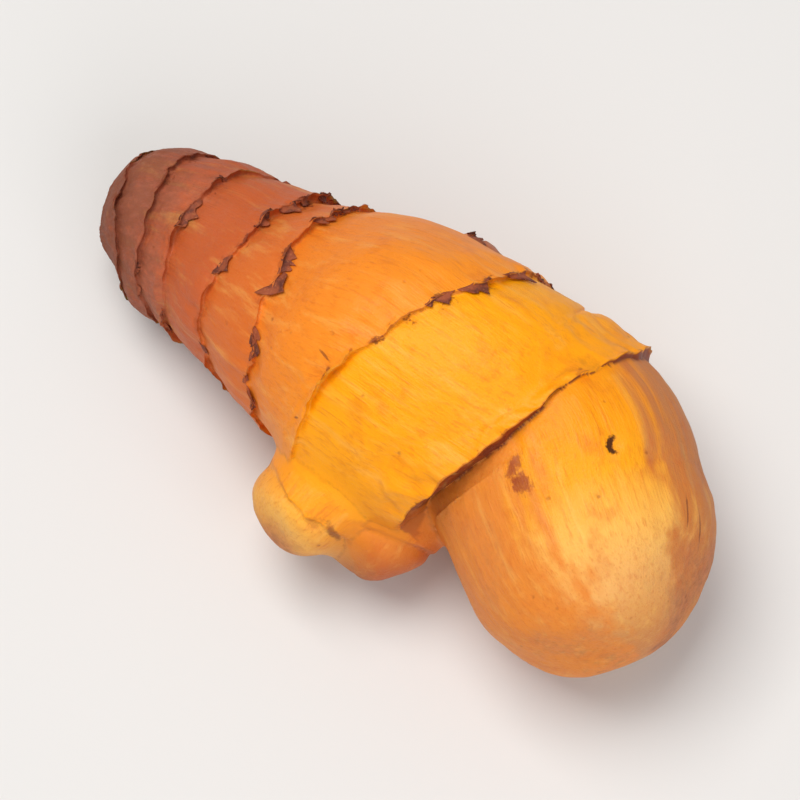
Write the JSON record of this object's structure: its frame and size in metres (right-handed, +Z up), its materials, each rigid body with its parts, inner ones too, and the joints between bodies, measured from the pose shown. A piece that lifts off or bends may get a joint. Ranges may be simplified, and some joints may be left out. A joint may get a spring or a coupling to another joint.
{
  "type": "turmeric root",
  "caption": "Fresh turmeric root: a ringed orange finger that tapers to a brown old end, with a smooth golden young end swelling out of its last scale collar, and side buds.",
  "frame": {"origin": "on the surface that the root lies on, under the middle of its bounding box", "axes": "+Z up; +X along the finger, from its brown old end to its golden young end; the side buds are on the -Y side"},
  "size_m": [0.0525, 0.0264, 0.0214],
  "materials": {
    "rhizome_skin": "thin satin plant skin, orange to golden, brown at the old end and along the scale rings"
  },
  "bodies": {
    "root": {"rhizome": "rhizome_skin"}
  },
  "joints": []
}
